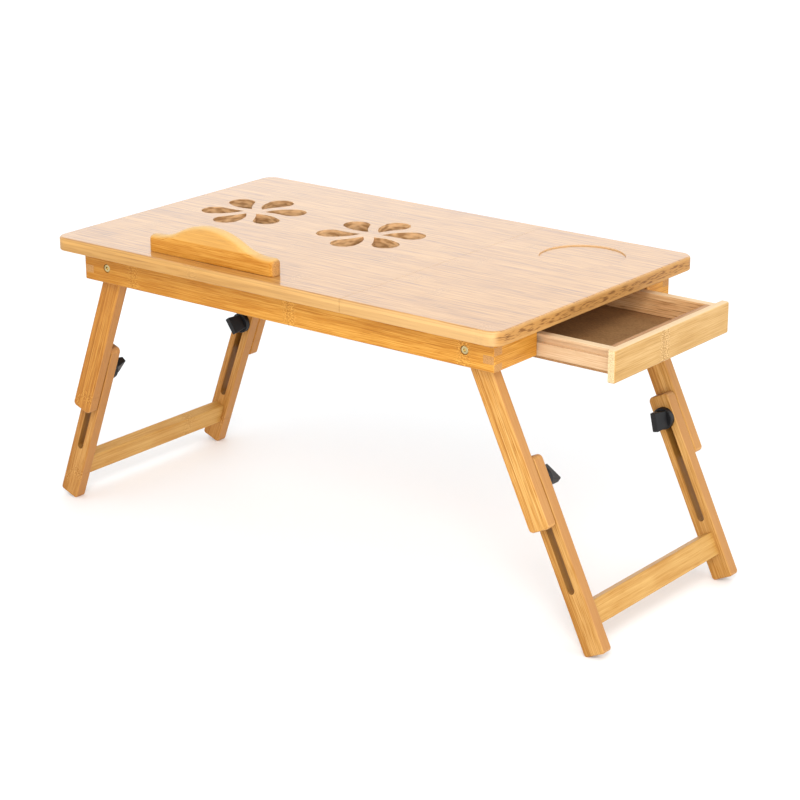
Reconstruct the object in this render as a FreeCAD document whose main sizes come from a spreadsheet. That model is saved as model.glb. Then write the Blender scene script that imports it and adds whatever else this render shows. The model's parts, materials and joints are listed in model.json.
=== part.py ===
import FreeCAD, Part
import math
import os
import re

# Folding bamboo laptop table with a side drawer and a tilting laptop panel, in millimetres.
# +X runs to the drawer end, +Y to the back and +Z up. The origin is on the floor, midway between
# the outermost points of the left and right feet and midway between the front and back edges.

doc = FreeCAD.newDocument("LaptopTable")

# ---------------------------------------------------------------- driving sizes

SIZES = {
    "Top panels": {
        "top_length": 500, "top_width": 300, "top_thickness": 12.5,
        "corner_radius": 13, "upper_edge_round": 2.2, "lower_edge_round": 1,
        "seam_from_left": 338.5, "seam_gap": 0.3,
        "overhang_front": 18, "overhang_left": 20.5, "overhang_right": 15.5,
        "rest_gap": 0.3,
    },
    "Cup recess": {
        "cup_radius": 38.4, "cup_depth": 1, "cup_from_right": 76.5, "cup_from_back": 66,
    },
    "Flower vents": {
        "flower_left_from_end": 85.8, "flower_pitch": 142.6, "flower_from_back": 121,
        "flower_turn": 29, "petal_count": 6, "petal_tip": 10.2, "petal_reach": 50.8,
        "petal_bulb": 12.7, "petal_lean": 6, "petal_full_from": 105, "petal_swell": 3,
        "petal_hollow_from": 118, "petal_hollow": 0.9,
    },
    "Apron frame": {
        "apron_height": 28.5, "board_thickness": 11, "frame_ease": 1.5, "finger_count": 4,
        "opening_clearance": 1.5,
        "strip_thickness": 3, "strip_under_tilt": 12, "strip_under_fixed": 9,
    },
    "Legs": {
        "left_inset": 28, "right_inset": 29.9, "pivot_drop": 14.25, "splay_gap": 0.3,
        "leg_width": 21.4, "upper_leg_thickness": 11.5, "lower_leg_thickness": 12,
        "leg_side_gap": 0.5, "slide_gap": 1, "leg_ease": 1.6,
        "upper_leg_reach": 160.5, "upper_end_round": 4, "clamp_from_end": 39,
        "lower_leg_length": 172.5, "foot_round": 3, "lower_end_round": 4.5,
        "right_leg_let_in": 3.7,
        "slot_from_foot": 54, "slot_from_end": 13.5, "slot_width": 6.6,
        "stretcher_from_foot": 32.5, "stretcher_depth": 21, "stretcher_thickness": 12,
        "dowel_radius": 4, "dowel_in_leg": 9, "dowel_in_stretcher": 15,
    },
    "Pivot bolts": {
        "bolt_radius": 2.5, "bolt_fit": 0.06, "head_radius": 3.7, "head_height": 2.2,
        "head_clearance": 0.35, "head_sink": 2.6, "head_ease": 0.7,
        "socket_radius": 1.6, "socket_depth": 1.4, "nut_radius": 4.5, "nut_height": 4,
        "washer_radius": 5, "washer_thickness": 1, "washer_gap": 0.3,
    },
    "Clamp knobs": {
        "stud_radius": 3, "insert_radius": 4.5, "insert_length": 9.5,
        "stud_in_insert": 8, "stud_in_knob": 9, "stud_fit": 0.05, "knob_gap": 0.4,
        "knob_base_radius": 10, "knob_base_height": 4.5, "knob_height": 17.5,
        "wing_root_length": 14, "wing_root_width": 12.5, "wing_tip_length": 17.5,
        "wing_tip_width": 5.5, "knob_ease": 0.9,
        "left_front_turn": 17, "left_back_turn": -55, "right_front_turn": -32,
        "right_back_turn": 13,
    },
    "Drawer": {
        "drawer_from_front": 50, "drawer_from_back": 28, "drawer_length": 132,
        "drawer_height": 19.5,
        "drawer_drop": 9.2, "drawer_open": 73.5, "side_thickness": 8, "end_thickness": 8,
        "face_thickness": 6.5, "face_overlap": 7.25, "face_height": 28.2, "face_hang": 7,
        "face_ease": 2, "bottom_thickness": 2, "bottom_inset": 0.5, "nail_radius": 0.7,
        "nail_head": 1.5, "nail_head_height": 0.6, "nail_length": 11, "nail_inset": 16,
        "groove_lip": 2.5, "groove_height": 5.4, "groove_depth": 3, "side_ease": 0.8,
        "face_screw_radius": 1.6, "face_screw_bite": 4.5, "face_screw_head": 3.2,
        "face_screw_head_height": 1.8, "face_screw_spacing": 100,
    },
    "Drawer rails and stop": {
        "rail_thickness": 1.5, "rail_gap": 0.4, "tongue_depth": 2.6, "tongue_lift": 0.3,
        "flange_width": 10, "rail_end_gap": 0.4, "rail_rear_gap": 0.6,
        "rail_screw_radius": 1.5, "rail_screw_head": 2.8, "rail_screw_bite": 8,
        "rail_screw_inset": 14, "stop_pull": 26, "stop_length": 10, "stop_width": 30,
        "stop_height": 12,
    },
    "Panel hinges": {
        "knuckle_radius": 2.4, "knuckle_gap": 0.3, "pin_radius": 1, "pin_fit": 0.05,
        "leaf_length": 30, "leaf_width": 9.5, "leaf_thickness": 1.2, "barrel_clearance": 0.4,
        "hinge_left_from_end": 85, "hinge_pitch": 170, "hinge_screw_radius": 1.2,
        "hinge_screw_head": 2.2, "hinge_screw_length": 8, "hinge_screw_pitch": 18,
    },
    "Prop and racks": {
        "prop_arm": 100, "prop_width": 44, "prop_wire": 2, "prop_bend": 6, "prop_fit": 0.06,
        "prop_from_left": 165, "prop_gap": 0.5, "tilt_limit": 35, "rack_steps": 5,
        "rack_clearance": 0.4, "rack_notch": 2.6, "rack_width": 8, "rack_height": 9,
        "rack_inset": 4, "rack_front_margin": 9, "rack_back_margin": 10,
        "bar_width": 9, "bar_height": 10, "bar_tenon": 5, "bar_inset": 12, "bar_beyond_rack": 1,
        "clip_length": 18, "clip_width": 8, "clip_height": 5.4, "clip_from_arm": 4,
        "clip_screw_radius": 1.2, "clip_screw_head": 2.3, "clip_screw_offset": 6.3,
        "clip_screw_bite": 8,
    },
    "Book stop": {
        "stopper_length": 147, "stopper_thickness": 13, "stopper_from_left": 105.6,
        "stopper_from_front": 14.8, "stopper_end_height": 15, "stopper_peak": 31.4,
        "stopper_peak_from_left": 71.4, "stopper_wave": 65.6, "stopper_crown": 77,
        "stopper_corner": 4, "stopper_round": 5, "stopper_foot_round": 0.8,
        "stopper_seat": 0.1,
        "stop_dowel_radius": 3, "stop_dowel_fit": 0.05, "stop_dowel_spacing": 90,
        "stop_dowel_up": 9, "stop_dowel_down": 9,
    },
}

# ---------------------------------------------------------------- sizes worked out from them

LAYOUT = {
    # leg planes, as distances from the middle plane between front and back
    "frame_half": "top_width / 2 - overhang_front",
    "inner_half": "frame_half - board_thickness",
    "upper_out": "inner_half - leg_side_gap",
    "upper_in": "upper_out - upper_leg_thickness",
    "lower_out": "upper_in - slide_gap",
    "lower_in": "lower_out - lower_leg_thickness",
    # a leg leans out until its edge meets the lower inside edge of the end board
    "below_pivot": "apron_height - pivot_drop",
    "left_stop": "left_inset - board_thickness",
    "right_stop": "right_inset - board_thickness",
    "stop_offset": "leg_width / 2 + splay_gap",
    "left_splay": "(acos(stop_offset / hypot(below_pivot; left_stop))"
                  " - atan2(below_pivot; left_stop)) / 1deg",
    "right_splay": "(acos(stop_offset / hypot(below_pivot; right_stop))"
                   " - atan2(below_pivot; right_stop)) / 1deg",
    # a leg is drawn out fully when its stud is at the upper end of the slot
    "clamp_reach": "upper_leg_reach - clamp_from_end",
    "full_reach": "clamp_reach + lower_leg_length - slot_from_end - slot_width / 2",
    "right_leg_reach": "full_reach - right_leg_let_in",
    # both feet stand on the floor, each on its rounded inner corner
    "foot_inner": "leg_width / 2 - foot_round",
    "pivot_height": "(right_leg_reach - foot_round) * cos(right_splay)"
                    " + foot_inner * sin(right_splay) + foot_round",
    "left_leg_reach": "(pivot_height - foot_round - foot_inner * sin(left_splay))"
                      " / cos(left_splay) + foot_round",
    "left_foot": "top_length / 2 - overhang_left - left_inset + foot_round"
                 " + (left_leg_reach - foot_round) * sin(left_splay)"
                 " + foot_inner * cos(left_splay)",
    "right_foot": "top_length / 2 - overhang_right - right_inset + foot_round"
                  " + (right_leg_reach - foot_round) * sin(right_splay)"
                  " + foot_inner * cos(right_splay)",
    "deck_x": "(left_foot - right_foot) / 2",
    # heights and ends of the top and its frame
    "apron_top": "pivot_height + pivot_drop",
    "apron_low": "apron_top - apron_height",
    "deck_top": "apron_top + top_thickness",
    "tilt_low": "apron_top + rest_gap",
    "deck_left": "deck_x - top_length / 2",
    "deck_right": "deck_x + top_length / 2",
    "frame_left": "deck_left + overhang_left",
    "frame_right": "deck_right - overhang_right",
    "seam_x": "deck_left + seam_from_left",
    "left_pivot": "frame_left + left_inset",
    "right_pivot": "frame_right - right_inset",
    "finger_height": "apron_height / finger_count",
    # drawer, as it stands pulled out by drawer_open
    "drawer_front": "-inner_half + drawer_from_front",
    "drawer_back": "inner_half - drawer_from_back",
    "drawer_middle": "(drawer_front + drawer_back) / 2",
    "opening_front": "drawer_front - opening_clearance",
    "opening_back": "drawer_back + opening_clearance",
    "face_front": "drawer_front - face_overlap",
    "face_back": "drawer_back + face_overlap",
    "drawer_top": "apron_top - drawer_drop",
    "drawer_low": "drawer_top - drawer_height",
    "drawer_mouth": "frame_right + drawer_open",
    "drawer_rear": "drawer_mouth - drawer_length",
    "bottom_low": "drawer_low - bottom_thickness",
    "groove_top": "drawer_top - groove_lip",
    "face_low": "drawer_low - face_hang",
    "rail_rear": "seam_x + strip_under_fixed + rail_rear_gap",
    "rail_mouth": "frame_right - board_thickness - rail_end_gap",
    "tongue_top": "groove_top - tongue_lift",
    "stop_rear": "drawer_rear + end_thickness + stop_pull",
    # panel hinges and the prop that follows them
    "hinge_y": "-frame_half - knuckle_radius - knuckle_gap",
    "hinge_z": "apron_top + rest_gap / 2",
    "hinge_left_x": "deck_left + hinge_left_from_end",
    "prop_x": "deck_left + prop_from_left",
    "prop_y": "hinge_y + prop_arm",
    "prop_z": "tilt_low - prop_gap - prop_wire",
    "foot_y": "prop_y + prop_arm",
    "rack_pitch": "2 * prop_arm * (1 - cos(tilt_limit)) / rack_steps",
    "rack_top": "prop_z - prop_wire - rack_clearance",
    "rack_front": "foot_y - rack_steps * rack_pitch - rack_front_margin",
    "rack_back": "foot_y + rack_back_margin",
    "rack_low": "rack_top - rack_height",
    "rack_right_x": "prop_x + prop_width / 2 - prop_wire - rack_inset - rack_width",
    "rack_left_x": "prop_x - prop_width / 2 + prop_wire + rack_inset",
    # book stop on the tilting panel
    "stopper_left": "deck_left + stopper_from_left",
    "stopper_front": "-top_width / 2 + stopper_from_front",
    "stopper_low": "deck_top + stopper_seat",
}

sheet = doc.addObject("Spreadsheet::Sheet", "Sizes")
layout = doc.addObject("App::FeaturePython", "Layout")
size_names = {name for group in SIZES.values() for name in group}
nodes = []


def formula(text):
    """Point the bare names in a formula at the sheet or at the layout."""
    def owner(match):
        word = match.group(0)
        if word in size_names:
            return "Sizes." + word
        return "Layout." + word if word in LAYOUT else word
    return re.sub(r"[A-Za-z_]\w*", owner, text)


def bind(part, formulas):
    for prop, text in formulas.items():
        part.setExpression(prop, formula(text))


def fill_sheet():
    row = 1
    for heading, cells in SIZES.items():
        sheet.set(f"A{row}", heading)
        for name, number in cells.items():
            row += 1
            sheet.set(f"A{row}", name)
            sheet.set(f"B{row}", str(number))
            sheet.setAlias(f"B{row}", name)
        row += 2
    doc.recompute()


def fill_layout():
    for name in LAYOUT:
        layout.addProperty("App::PropertyFloat", name, "Layout")
    bind(layout, LAYOUT)
    doc.recompute()


def size(name):
    return float(getattr(sheet if name in size_names else layout, name))


fill_sheet()
fill_layout()

# ---------------------------------------------------------------- building blocks

TURN_TO = {"X": FreeCAD.Rotation(FreeCAD.Vector(0, 1, 0), 90),
           "Y": FreeCAD.Rotation(FreeCAD.Vector(1, 0, 0), -90),
           "Z": FreeCAD.Rotation()}
FRONT, BACK = -1, 1
PAST = 1        # how far a cutter runs on past the face that it opens
SAME = 1e-6     # coordinates nearer than this are one place


def at(part, x, y, z):
    bind(part, {"Placement.Base.x": x, "Placement.Base.y": y, "Placement.Base.z": z})
    return part


def box(name, low, high):
    """A block between two corners, each given as three formulas."""
    part = doc.addObject("Part::Box", name)
    for prop, start, end in zip(("Length", "Width", "Height"), low, high):
        bind(part, {prop: f"({end}) - ({start})"})
    return at(part, *low)


def rod(name, axis, start, radius, length):
    """A cylinder from a point along +X, +Y or +Z."""
    part = doc.addObject("Part::Cylinder", name)
    part.Placement.Rotation = TURN_TO[axis]
    bind(part, {"Radius": radius, "Height": length})
    return at(part, *start)


def taper(name, axis, start, first, last, length):
    """A cone frustum, such as a countersunk screw head."""
    part = doc.addObject("Part::Cone", name)
    part.Placement.Rotation = TURN_TO[axis]
    bind(part, {"Radius1": first, "Radius2": last, "Height": length})
    return at(part, *start)


def group(name, parts):
    part = doc.addObject("Part::Compound", name)
    part.Links = parts
    return part


def cut(name, base, tools):
    part = doc.addObject("Part::Cut", name)
    part.Base = base
    part.Tool = tools[0] if len(tools) == 1 else group(name + "_tools", tools)
    return part


def fuse(name, parts):
    part = doc.addObject("Part::MultiFuse", name)
    part.Shapes = parts
    return part


def common(name, first, second):
    part = doc.addObject("Part::Common", name)
    part.Base = first
    part.Tool = second
    return part


def mirror(name, source):
    """The same piece on the other side of the plane between front and back."""
    part = doc.addObject("Part::Mirroring", name)
    part.Source = source
    part.Normal = FreeCAD.Vector(0, 1, 0)
    return part


def rounded(name, base, radius, chosen):
    """Round the edges that the test picks."""
    doc.recompute()
    part = doc.addObject("Part::Fillet", name)
    part.Base = base
    part.Edges = [(number, size(radius), size(radius))
                  for number, edge in enumerate(base.Shape.Edges, 1) if chosen(edge)]
    return part


def runs_along(edge, axis):
    """True for a straight edge that is parallel to an axis."""
    if edge.Curve.TypeId != "Part::GeomLine":
        return False
    ends = edge.Vertexes
    span = ends[-1].Point - ends[0].Point
    return abs(abs(getattr(span, axis)) - span.Length) < SAME


def lies_at(edge, axis, place):
    """True if the whole edge is at one coordinate."""
    low = getattr(edge.BoundBox, axis.upper() + "Min")
    high = getattr(edge.BoundBox, axis.upper() + "Max")
    return abs(low - place) < SAME and abs(high - place) < SAME


def keep(label, part):
    """Name a finished piece; it is exported under this label."""
    part.Label = label
    nodes.append(part)
    return part


def screw(name, x, y, z, head, radius, sink, length, down):
    """A countersunk wood screw: its head is flush at z and it points up or down."""
    if down:
        cone = taper(name + "_head", "Z", (x, y, f"{z} - {sink}"), radius, head, sink)
        shank = rod(name + "_shank", "Z", (x, y, f"{z} - {sink} - {length}"), radius, length)
    else:
        cone = taper(name + "_head", "Z", (x, y, z), head, radius, sink)
        shank = rod(name + "_shank", "Z", (x, y, f"{z} + {sink}"), radius, length)
    return fuse(name, [cone, shank])


# ---------------------------------------------------------------- fasteners set in the wood

def make_hinge_screws(down, z):
    word = "fixed" if down else "moving"
    made = []
    for hinge in (0, 1):
        for side in (-1, 1):
            x = f"hinge_left_x + {hinge} * hinge_pitch + {side} * hinge_screw_pitch / 2"
            y = "-frame_half + leaf_width / 2"
            made.append(screw(f"hinge_{word}_screw_{len(made)}", x, y, z, "hinge_screw_head",
                              "hinge_screw_radius", "leaf_thickness", "hinge_screw_length",
                              down))
    return keep(f"hinge_{word}_screws", group(f"hinge_{word}_screw_set", made))


def make_rail_screws():
    made = []
    for y in ("drawer_front - rail_gap + flange_width / 2",
              "drawer_back + rail_gap - flange_width / 2"):
        for x in ("rail_rear + rail_screw_inset", "rail_mouth - rail_screw_inset"):
            made.append(screw(f"rail_screw_{len(made)}", x, y, "apron_top - rail_thickness",
                              "rail_screw_head", "rail_screw_radius", "rail_thickness",
                              "rail_screw_bite", False))
    return keep("drawer_rail_screws", group("rail_screw_set", made))


def make_clip_screws():
    made = []
    sink = "(clip_screw_head - clip_screw_radius)"
    for side in (-1, 1):
        for end in (-1, 1):
            made.append(screw(f"clip_screw_{len(made)}", clip_middle(side),
                              f"prop_y + {end} * clip_screw_offset", "tilt_low - clip_height",
                              "clip_screw_head", "clip_screw_radius", sink,
                              f"(clip_height - {sink} + clip_screw_bite)", False))
    return keep("prop_clip_screws", group("clip_screw_set", made))


def clip_middle(side):
    return f"prop_x + {side} * (prop_width / 2 - prop_bend - clip_from_arm)"


def make_stopper_dowels():
    made = []
    for side in (-1, 1):
        made.append(rod(f"stopper_dowel_{side + 1}", "Z",
                        (f"stopper_left + (stopper_length + {side} * stop_dowel_spacing) / 2",
                         "stopper_front + stopper_thickness / 2",
                         "stopper_low - stop_dowel_down"),
                        "stop_dowel_radius", "stop_dowel_down + stop_dowel_up"))
    return keep("stopper_dowels", group("stopper_dowel_set", made))


hinge_fixed_screws = make_hinge_screws(True, "apron_top")
hinge_moving_screws = make_hinge_screws(False, "tilt_low")
rail_screws = make_rail_screws()
clip_screws = make_clip_screws()
stopper_dowels = make_stopper_dowels()

# ---------------------------------------------------------------- apron frame

def finger_row(row):
    """Top and bottom of one row of the corner joints, counted from the top."""
    return f"apron_top - {row + 1} * finger_height", f"apron_top - {row} * finger_height"


def finger_rows(first):
    return range(first, int(size("finger_count")), 2)


def make_envelope():
    """The frame's outside: its corners and lower edges are eased as one."""
    blank = box("frame_outside_blank", ("frame_left", "-frame_half", "apron_low"),
                ("frame_right", "frame_half", "apron_top"))
    return rounded("frame_outside", blank, "frame_ease",
                   lambda edge: not lies_at(edge, "z", size("apron_top")))


def make_apron(side):
    word = "front" if side == FRONT else "back"
    low, high = ("-frame_half", "-inner_half") if side == FRONT else ("inner_half", "frame_half")
    blank = box(word + "_apron_blank", ("frame_left", low, "apron_low"),
                ("frame_right", high, "apron_top"))
    tools = []
    for end, start in (("left", "frame_left"), ("right", "frame_right - board_thickness")):
        for row in finger_rows(0):
            bottom, top = finger_row(row)
            tools.append(box(f"{word}_{end}_gap_{row}", (start, low, bottom),
                             (f"{start} + board_thickness", high, top)))
    sink_start = f"{low} - {PAST}" if side == FRONT else f"{high} - head_sink"
    for pivot in ("left_pivot", "right_pivot"):
        tools.append(rod(f"{word}_{pivot}_bore", "Y", (pivot, low, "pivot_height"),
                         "bolt_radius", "board_thickness"))
        tools.append(rod(f"{word}_{pivot}_sink", "Y", (pivot, sink_start, "pivot_height"),
                         "head_radius + head_clearance", f"head_sink + {PAST}"))
    if side == FRONT:
        for hinge in (0, 1):
            x = f"hinge_left_x + {hinge} * hinge_pitch"
            tools.append(box(f"leaf_mortise_{hinge}",
                             (f"{x} - leaf_length / 2", low, "apron_top - leaf_thickness"),
                             (f"{x} + leaf_length / 2", f"{low} + leaf_width", "apron_top")))
        tools.append(hinge_fixed_screws)
    jointed = cut(word + "_apron_jointed", blank, tools)
    return keep(word + "_apron", common(word + "_apron_eased", jointed, frame_outside))


def make_end_board(label, start, low, high, front_joint, back_joint, tools):
    """A board across an end; its fingers fill the gaps in the aprons."""
    blank = box(label + "_blank", (start, low, "apron_low"),
                (f"{start} + board_thickness", high, "apron_top"))
    for row in finger_rows(1):
        bottom, top = finger_row(row)
        if front_joint:
            tools.append(box(f"{label}_front_gap_{row}", (start, "-frame_half", bottom),
                             (f"{start} + board_thickness", "-inner_half", top)))
        if back_joint:
            tools.append(box(f"{label}_back_gap_{row}", (start, "inner_half", bottom),
                             (f"{start} + board_thickness", "frame_half", top)))
    jointed = cut(label + "_jointed", blank, tools)
    return keep(label, common(label + "_eased", jointed, frame_outside))


def bar_middle(end):
    """Each rack bar runs under the racks, one near their front and one near their back."""
    return "rack_front + bar_inset" if end == FRONT else "rack_back - bar_inset"


def make_rack_bar(end):
    word = "front" if end == FRONT else "back"
    y = bar_middle(end)
    return box(f"rack_bar_{word}_solid",
               ("frame_left + board_thickness - bar_tenon", f"{y} - bar_width / 2",
                "rack_low - bar_height"),
               ("rack_right_x + rack_width + bar_beyond_rack", f"{y} + bar_width / 2",
                "rack_low"))


frame_outside = make_envelope()
front_apron = make_apron(FRONT)
back_apron = make_apron(BACK)
rack_bar_front = keep("rack_bar_front", make_rack_bar(FRONT))
rack_bar_back = keep("rack_bar_back", make_rack_bar(BACK))
make_end_board("left_end_board", "frame_left", "-frame_half", "frame_half", True, True,
               [rack_bar_front, rack_bar_back])
make_end_board("right_front_return", "frame_right - board_thickness", "-frame_half",
               "opening_front", True, False, [])
make_end_board("right_back_return", "frame_right - board_thickness", "opening_back",
               "frame_half", False, True, [])

keep("seam_strip", box("seam_strip_solid",
                       ("seam_x - strip_under_tilt", "-inner_half",
                        "apron_top - strip_thickness"),
                       ("seam_x + strip_under_fixed", "inner_half", "apron_top")))

# ---------------------------------------------------------------- top panels

def make_slab():
    blank = box("slab_blank", ("deck_left", "-top_width / 2", "apron_top"),
                ("deck_right", "top_width / 2", "deck_top"))
    corners = rounded("slab_corners", blank, "corner_radius",
                      lambda edge: runs_along(edge, "z"))
    upper = rounded("slab_upper_edge", corners, "upper_edge_round",
                    lambda edge: lies_at(edge, "z", size("deck_top")))
    return rounded("slab", upper, "lower_edge_round",
                   lambda edge: lies_at(edge, "z", size("apron_top")))


def petal(middle, turn):
    """One vent: a round outer end, a full side and a hollow side that meet in a point."""
    bulb = FreeCAD.Vector(size("petal_reach") - size("petal_bulb"), 0, 0)
    lean = math.radians(-size("petal_lean"))

    def round_end(angle):
        turned = math.radians(angle)
        return bulb + FreeCAD.Vector(math.cos(turned), math.sin(turned), 0) * size("petal_bulb")

    def side(start, end, swell):
        along = end - start
        outward = FreeCAD.Vector(-along.y, along.x, 0).normalize()
        return Part.Arc(start, start + along * 0.5 + outward * swell, end).toShape()

    tip = FreeCAD.Vector(math.cos(lean), math.sin(lean), 0) * size("petal_tip")
    full = round_end(size("petal_full_from"))
    hollow = round_end(-size("petal_hollow_from"))
    outline = Part.Wire([side(tip, full, size("petal_swell")),
                         Part.Arc(full, round_end(0), hollow).toShape(),
                         side(hollow, tip, -size("petal_hollow"))])
    solid = Part.Face(outline).extrude(FreeCAD.Vector(0, 0, size("top_thickness") + 2 * PAST))
    solid.rotate(FreeCAD.Vector(), FreeCAD.Vector(0, 0, 1), turn)
    solid.translate(middle)
    return solid


def make_vent_cutter():
    petals = []
    for flower in (0, 1):
        middle = FreeCAD.Vector(
            size("deck_left") + size("flower_left_from_end") + flower * size("flower_pitch"),
            size("top_width") / 2 - size("flower_from_back"), size("apron_top") - PAST)
        count = int(size("petal_count"))
        petals += [petal(middle, 360 / count * number + size("flower_turn"))
                   for number in range(count)]
    part = doc.addObject("Part::Feature", "vent_cutter")
    part.Shape = Part.makeCompound(petals)
    return part


def make_tilt_panel():
    share = box("tilt_share", (f"deck_left - {PAST}", f"-top_width / 2 - {PAST}", "tilt_low"),
                ("seam_x - seam_gap / 2", f"top_width / 2 + {PAST}", f"deck_top + {PAST}"))
    blank = common("tilt_panel_blank", slab, share)
    tools = [make_vent_cutter(), hinge_moving_screws, clip_screws]
    for hinge in (0, 1):
        x = f"hinge_left_x + {hinge} * hinge_pitch"
        tools.append(rod(f"barrel_groove_{hinge}", "X",
                         (f"{x} - leaf_length / 2 - barrel_clearance", "hinge_y", "hinge_z"),
                         "knuckle_radius + barrel_clearance",
                         "leaf_length + 2 * barrel_clearance"))
        tools.append(box(f"moving_mortise_{hinge}",
                         (f"{x} - leaf_length / 2", "hinge_y", "tilt_low"),
                         (f"{x} + leaf_length / 2", "-frame_half + leaf_width",
                          "tilt_low + leaf_thickness")))
    for side in (-1, 1):
        tools.append(rod(f"dowel_bore_{side + 1}", "Z",
                         (f"stopper_left + (stopper_length + {side} * stop_dowel_spacing) / 2",
                          "stopper_front + stopper_thickness / 2",
                          f"deck_top - stop_dowel_down - {PAST}"),
                         "stop_dowel_radius + stop_dowel_fit",
                         f"stop_dowel_down + 2 * {PAST}"))
    return keep("tilt_panel", cut("tilt_panel_cut", blank, tools))


def make_fixed_panel():
    share = box("fixed_share",
                ("seam_x + seam_gap / 2", f"-top_width / 2 - {PAST}", f"apron_top - {PAST}"),
                (f"deck_right + {PAST}", f"top_width / 2 + {PAST}", f"deck_top + {PAST}"))
    blank = common("fixed_panel_blank", slab, share)
    recess = rod("cup_recess", "Z", ("deck_right - cup_from_right",
                                     "top_width / 2 - cup_from_back", "deck_top - cup_depth"),
                 "cup_radius", f"cup_depth + {PAST}")
    return keep("fixed_panel", cut("fixed_panel_cut", blank, [recess, rail_screws]))


slab = make_slab()
make_tilt_panel()
make_fixed_panel()

# ---------------------------------------------------------------- panel hinges

def hinge_leaf(number, moving):
    """A leaf with its knuckles: the fixed one has the outer two, the moving one the middle."""
    word = "moving" if moving else "fixed"
    x = f"hinge_left_x + {number} * hinge_pitch"
    low = "tilt_low" if moving else "apron_top - leaf_thickness"
    plate = box(f"{word}_plate_{number}", (f"{x} - leaf_length / 2", "hinge_y", low),
                (f"{x} + leaf_length / 2", "-frame_half + leaf_width", f"{low} + leaf_thickness"))
    third = "leaf_length / 3"
    gap = "knuckle_gap / 2"
    if moving:
        starts = [(f"{x} - {third} / 2 + {gap}", f"{third} - 2 * {gap}")]
        clear = [(f"{x} - leaf_length / 2 - {PAST}", f"{third} + {PAST} + {gap}"),
                 (f"{x} + {third} / 2 - {gap}", f"{third} + {PAST} + {gap}")]
        bore = "pin_radius"
    else:
        starts = [(f"{x} - leaf_length / 2", f"{third} - {gap}"),
                  (f"{x} + {third} / 2 + {gap}", f"{third} - {gap}")]
        clear = [(f"{x} - {third} / 2 - {gap}", f"{third} + 2 * {gap}")]
        bore = "pin_radius + pin_fit"
    reach = "knuckle_radius + barrel_clearance"
    spaces = [box(f"{word}_space_{number}_{index}",
                  (start, f"hinge_y - knuckle_radius - {PAST}",
                   f"hinge_z - knuckle_radius - {PAST}"),
                  (f"{start} + {length}", f"hinge_y + {reach}",
                   f"hinge_z + knuckle_radius + {PAST}"))
              for index, (start, length) in enumerate(clear)]
    trimmed = cut(f"{word}_trimmed_{number}", plate, spaces)
    knuckles = [rod(f"{word}_knuckle_{number}_{index}", "X", (start, "hinge_y", "hinge_z"),
                    "knuckle_radius", length) for index, (start, length) in enumerate(starts)]
    whole = fuse(f"{word}_leaf_whole_{number}", [trimmed] + knuckles)
    hole = rod(f"{word}_pin_bore_{number}", "X",
               (f"{x} - leaf_length / 2 - {PAST}", "hinge_y", "hinge_z"),
               bore, f"leaf_length + 2 * {PAST}")
    screws = hinge_moving_screws if moving else hinge_fixed_screws
    return cut(f"{word}_leaf_{number}", whole, [hole, screws])


keep("hinge_fixed_leaves", group("fixed_leaf_set", [hinge_leaf(n, False) for n in (0, 1)]))
keep("hinge_moving_leaves", group("moving_leaf_set", [hinge_leaf(n, True) for n in (0, 1)]))
keep("hinge_pins", group("hinge_pin_set", [
    rod(f"hinge_pin_{n}", "X", (f"hinge_left_x + {n} * hinge_pitch - leaf_length / 2", "hinge_y",
                                "hinge_z"), "pin_radius", "leaf_length") for n in (0, 1)]))

# ---------------------------------------------------------------- prop, clips and racks

def make_prop_loop():
    """A closed loop of round wire: pivot rod, two arms and a foot rod, with bent corners."""
    half, bend = size("prop_width") / 2, size("prop_bend")
    near, far = size("prop_y"), size("foot_y")
    middle, z = size("prop_x"), size("prop_z")
    runs = []
    corners = ((-half, near, 1, 1), (-half, far, 1, -1), (half, far, -1, -1), (half, near, -1, 1))
    ends = []
    for x, y, right, up in corners:
        corner = FreeCAD.Vector(middle + x, y, z)
        along_y = corner + FreeCAD.Vector(0, up * bend, 0)
        along_x = corner + FreeCAD.Vector(right * bend, 0, 0)
        slack = bend * (1 - math.sqrt(0.5))
        between = corner + FreeCAD.Vector(right * slack, up * slack, 0)
        ends.append((along_y, between, along_x))
    order = (ends[0][::-1], ends[1], ends[2][::-1], ends[3])
    for index, (start, between, end) in enumerate(order):
        runs.append(Part.Arc(start, between, end).toShape())
        runs.append(Part.LineSegment(end, order[(index + 1) % len(order)][0]).toShape())
    path = Part.Wire(runs)
    section = Part.Wire([Part.makeCircle(size("prop_wire"), order[0][0],
                                         FreeCAD.Vector(1, 0, 0))])
    part = doc.addObject("Part::Feature", "prop_loop_solid")
    part.Shape = path.makePipeShell([section], True, False)
    return keep("prop_loop", part)


def make_clips():
    clips = []
    for side in (-1, 1):
        x = clip_middle(side)
        block = box(f"clip_block_{side + 1}",
                    (f"{x} - clip_width / 2", "prop_y - clip_length / 2", "tilt_low - clip_height"),
                    (f"{x} + clip_width / 2", "prop_y + clip_length / 2", "tilt_low"))
        bore = rod(f"clip_bore_{side + 1}", "X", (f"{x} - clip_width", "prop_y", "prop_z"),
                   "prop_wire + prop_fit", "2 * clip_width")
        clips.append(cut(f"clip_{side + 1}", block, [bore, clip_screws]))
    return keep("prop_clips", group("clip_set", clips))


def make_rack(label, x):
    block = box(label + "_block", (x, "rack_front", "rack_low"),
                (f"{x} + rack_width", "rack_back", "rack_top"))
    notches = [rod(f"{label}_notch_{step}", "X",
                   (f"{x} - {PAST}", f"foot_y - {step} * rack_pitch", "rack_top"),
                   "rack_notch", f"rack_width + 2 * {PAST}")
               for step in range(1, int(size("rack_steps")) + 1)]
    return keep(label, cut(label + "_cut", block, notches))


make_prop_loop()
make_clips()
make_rack("tilt_rack_left", "rack_left_x")
make_rack("tilt_rack_right", "rack_right_x")

# ---------------------------------------------------------------- book stop

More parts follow.
